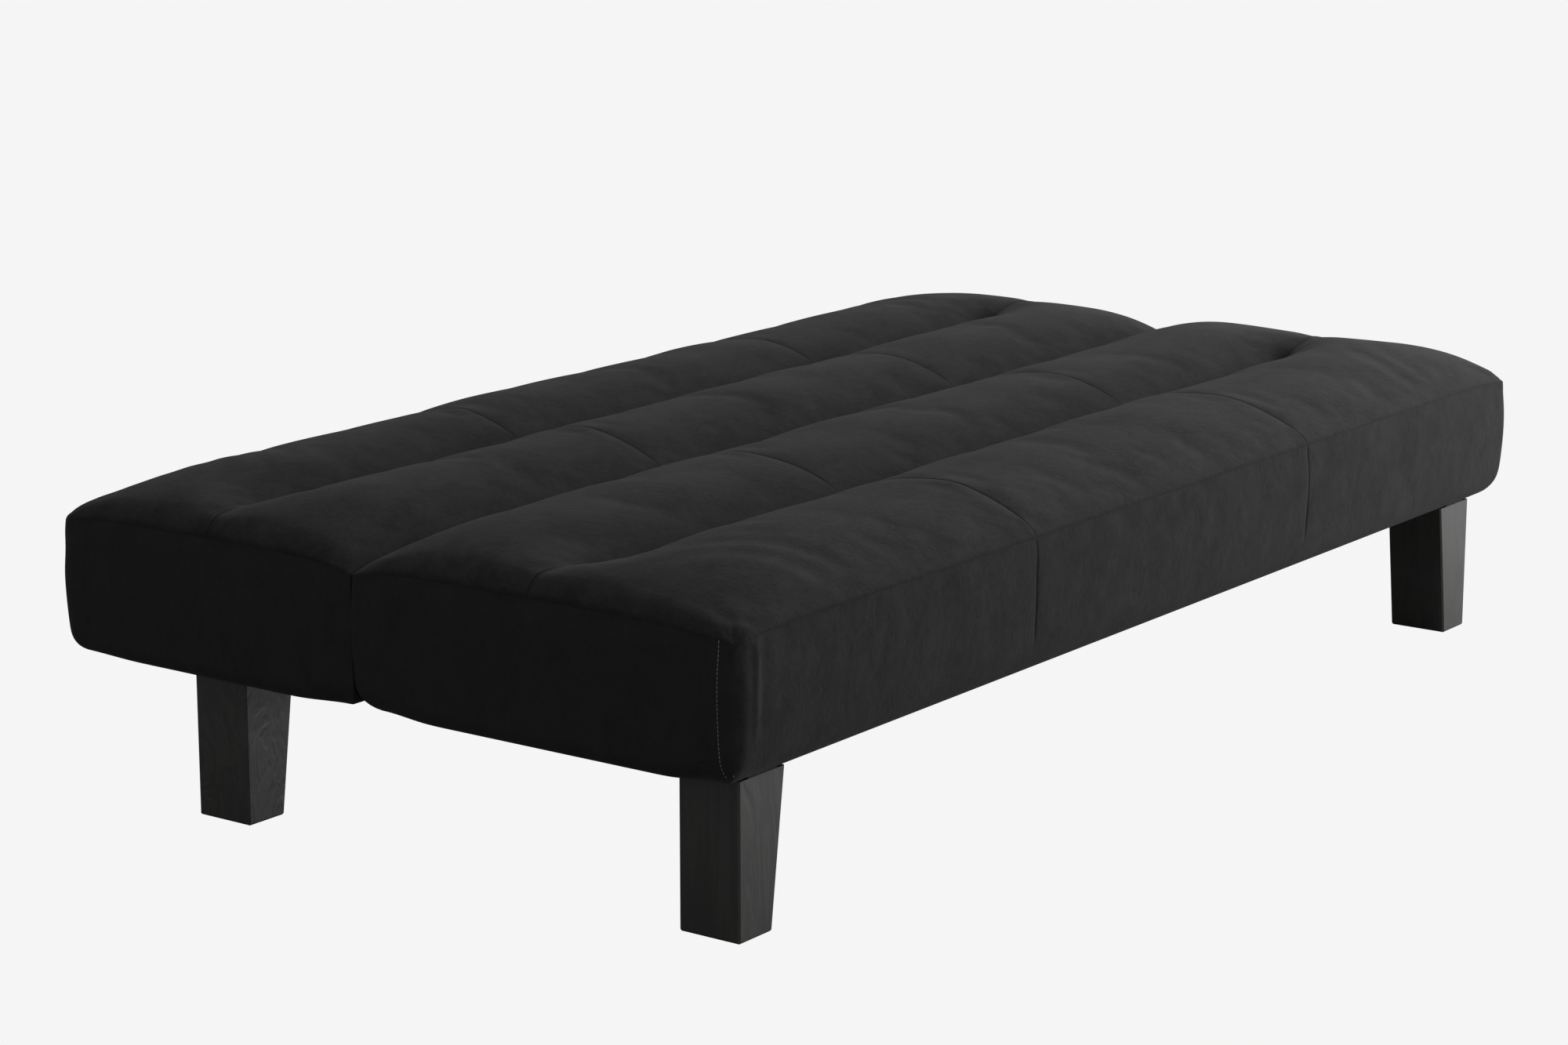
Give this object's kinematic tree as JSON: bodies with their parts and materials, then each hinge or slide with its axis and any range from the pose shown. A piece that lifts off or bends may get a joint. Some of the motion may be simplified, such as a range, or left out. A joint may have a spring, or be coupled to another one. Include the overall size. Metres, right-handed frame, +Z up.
{
  "type": "futon sofa bed",
  "caption": "Low armless click-clack sofa bed lying flat: channelled upholstered boxes on tapered block legs, the rear one folding up as a backrest.",
  "frame": {"origin": "on the floor, under the middle of the flat bed's bounding box", "axes": "+X along the bed to the sitter's left, +Y from the seat's front edge to the back's outer edge, +Z up; rest pose is the flat bed"},
  "size_m": [1.76, 0.975, 0.39],
  "materials": {
    "black_steel": "black powder coat",
    "felt": "grey needled felt",
    "foam": "open-cell polyurethane foam",
    "frame_timber": "planed pine, unfinished",
    "glide_plastic": "black nylon",
    "insert_brass": "plain",
    "leg_timber": "dark stained hardwood, satin",
    "lining": "black non-woven lining",
    "microfibre": "suede-like napped microfibre, charcoal black",
    "rubber": "matt black",
    "spring_steel": "oiled spring wire",
    "wadding": "white polyester wadding",
    "zinc_steel": "zinc plated"
  },
  "bodies": {
    "base": {"foot_glides": "glide_plastic", "front_leg_left": "leg_timber", "front_leg_right": "leg_timber", "hinge_pin_left": "zinc_steel", "hinge_pin_right": "zinc_steel", "hinge_seat_arm_left": "black_steel", "hinge_seat_arm_right": "black_steel", "leg_bolts": "zinc_steel", "leg_inserts": "insert_brass", "leg_rail_left": "black_steel", "leg_rail_right": "black_steel", "rail_end_caps": "rubber", "rail_screws": "zinc_steel", "rear_cross_bar": "black_steel", "rear_leg_left": "leg_timber", "rear_leg_right": "leg_timber", "rest_bumpers": "rubber", "seat_arm_screws": "zinc_steel", "seat_centre_joist": "frame_timber", "seat_cleats": "frame_timber", "seat_corner_blocks": "frame_timber", "seat_cover": "microfibre", "seat_crease_board": "frame_timber", "seat_felt": "felt", "seat_foam": "foam", "seat_front_board": "frame_timber", "seat_left_board": "frame_timber", "seat_left_joist": "frame_timber", "seat_lining": "lining", "seat_right_board": "frame_timber", "seat_right_joist": "frame_timber", "seat_spring_clips": "spring_steel", "seat_springs": "spring_steel", "seat_wadding": "wadding"},
    "back": {"back_arm_screws": "zinc_steel", "back_centre_joist": "frame_timber", "back_cleats": "frame_timber", "back_corner_blocks": "frame_timber", "back_cover": "microfibre", "back_crease_board": "frame_timber", "back_felt": "felt", "back_foam": "foam", "back_left_board": "frame_timber", "back_left_joist": "frame_timber", "back_lining": "lining", "back_rear_board": "frame_timber", "back_right_board": "frame_timber", "back_right_joist": "frame_timber", "back_spring_clips": "spring_steel", "back_springs": "spring_steel", "back_wadding": "wadding", "hinge_back_arm_left": "black_steel", "hinge_back_arm_right": "black_steel", "pawl_pin_left": "zinc_steel", "pawl_pin_right": "zinc_steel"},
    "pawl_left": {"pawl_left": "zinc_steel"},
    "pawl_right": {"pawl_right": "zinc_steel"}
  },
  "joints": [
    {"name": "back_fold", "type": "hinge", "parent": "base", "child": "back", "pos_m": [0, 0.037, 0.344], "axis": [1, 0, 0], "range_deg": [0, 80]},
    {"name": "pawl_left_swing", "type": "hinge", "parent": "back", "child": "pawl_left", "pos_m": [-0.7715, 0.07557, 0.29804], "axis": [1, 0, 0], "range_deg": [-7, 0], "stiffness_Nm_per_rad": 0.02},
    {"name": "pawl_right_swing", "type": "hinge", "parent": "back", "child": "pawl_right", "pos_m": [0.7715, 0.07557, 0.29804], "axis": [1, 0, 0], "range_deg": [-7, 0], "stiffness_Nm_per_rad": 0.02}
  ]
}
